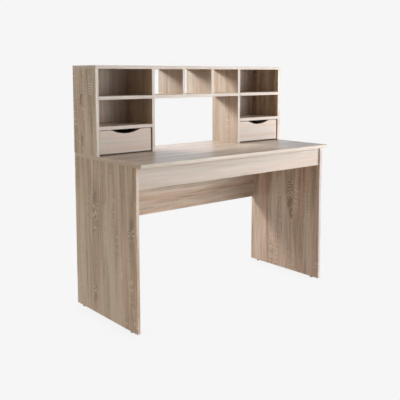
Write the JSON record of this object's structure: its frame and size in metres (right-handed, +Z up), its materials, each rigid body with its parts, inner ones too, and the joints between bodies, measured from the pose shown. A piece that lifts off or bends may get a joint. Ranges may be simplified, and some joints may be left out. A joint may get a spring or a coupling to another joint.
{
  "type": "computer desk",
  "caption": "Oak-effect writing desk with panel legs, apron, modesty panel and a hutch of cubbies between towers of shelves with small drawers.",
  "frame": {"origin": "on the floor, at the centre of the footprint's box", "axes": "+X to the sitting user's right along the desk's width, +Y to the back, +Z up"},
  "size_m": [1.2, 0.5594, 1.159],
  "materials": {
    "oak_laminate": "light grey-brown oak-effect melamine foil, satin",
    "printed_hardboard": "thin fibreboard printed with the same oak effect",
    "drawer_board": "plain oak-effect foil on the drawers' inner boards",
    "drawer_bottom": "thin pale-faced fibreboard",
    "beech": "fluted beech dowel",
    "bright_steel": "zinc-plated steel",
    "zinc": null,
    "glide_plastic": "dark brown hard plastic",
    "rail_plastic": "off-white slippery plastic",
    "cover_foil": "stick-on oak-effect foil disc"
  },
  "bodies": {
    "desk": {"desk_top": "oak_laminate", "left_side_panel": "oak_laminate", "right_side_panel": "oak_laminate", "front_apron": "oak_laminate", "modesty_panel": "oak_laminate", "floor_glides": "glide_plastic", "desk_dowels": "beech", "desk_cam_bolts": "bright_steel", "desk_cam_locks": "zinc", "desk_cam_covers": "cover_foil", "hutch_top": "oak_laminate", "hutch_left_side": "oak_laminate", "hutch_right_side": "oak_laminate", "left_tower_inner_panel": "oak_laminate", "right_tower_inner_panel": "oak_laminate", "left_tower_upper_shelf": "oak_laminate", "left_tower_lower_shelf": "oak_laminate", "right_tower_upper_shelf": "oak_laminate", "right_tower_lower_shelf": "oak_laminate", "left_tower_back": "printed_hardboard", "right_tower_back": "printed_hardboard", "cubby_shelf": "oak_laminate", "left_cubby_divider": "oak_laminate", "right_cubby_divider": "oak_laminate", "hutch_dowels": "beech", "hutch_cam_bolts": "bright_steel", "hutch_cam_locks": "zinc", "hutch_cam_covers": "cover_foil", "divider_screws": "bright_steel", "back_panel_nails": "bright_steel", "rail_screws": "bright_steel", "left_drawer_left_rail": "rail_plastic", "left_drawer_right_rail": "rail_plastic", "right_drawer_left_rail": "rail_plastic", "right_drawer_right_rail": "rail_plastic"},
    "left_drawer": {"left_drawer_front": "oak_laminate", "left_drawer_left_side": "drawer_board", "left_drawer_right_side": "drawer_board", "left_drawer_back": "drawer_board", "left_drawer_bottom": "drawer_bottom", "left_drawer_dowels": "beech", "left_drawer_cam_bolts": "bright_steel", "left_drawer_cam_locks": "zinc", "left_drawer_side_screws": "bright_steel", "left_drawer_bottom_screws": "bright_steel"},
    "right_drawer": {"right_drawer_front": "oak_laminate", "right_drawer_left_side": "drawer_board", "right_drawer_right_side": "drawer_board", "right_drawer_back": "drawer_board", "right_drawer_bottom": "drawer_bottom", "right_drawer_dowels": "beech", "right_drawer_cam_bolts": "bright_steel", "right_drawer_cam_locks": "zinc", "right_drawer_side_screws": "bright_steel", "right_drawer_bottom_screws": "bright_steel"}
  },
  "joints": [
    {"name": "left_drawer_slide", "type": "slide", "parent": "desk", "child": "left_drawer", "axis": [0, -1, 0], "range_m": [0, 0.13]},
    {"name": "right_drawer_slide", "type": "slide", "parent": "desk", "child": "right_drawer", "axis": [0, -1, 0], "range_m": [0, 0.13]}
  ]
}
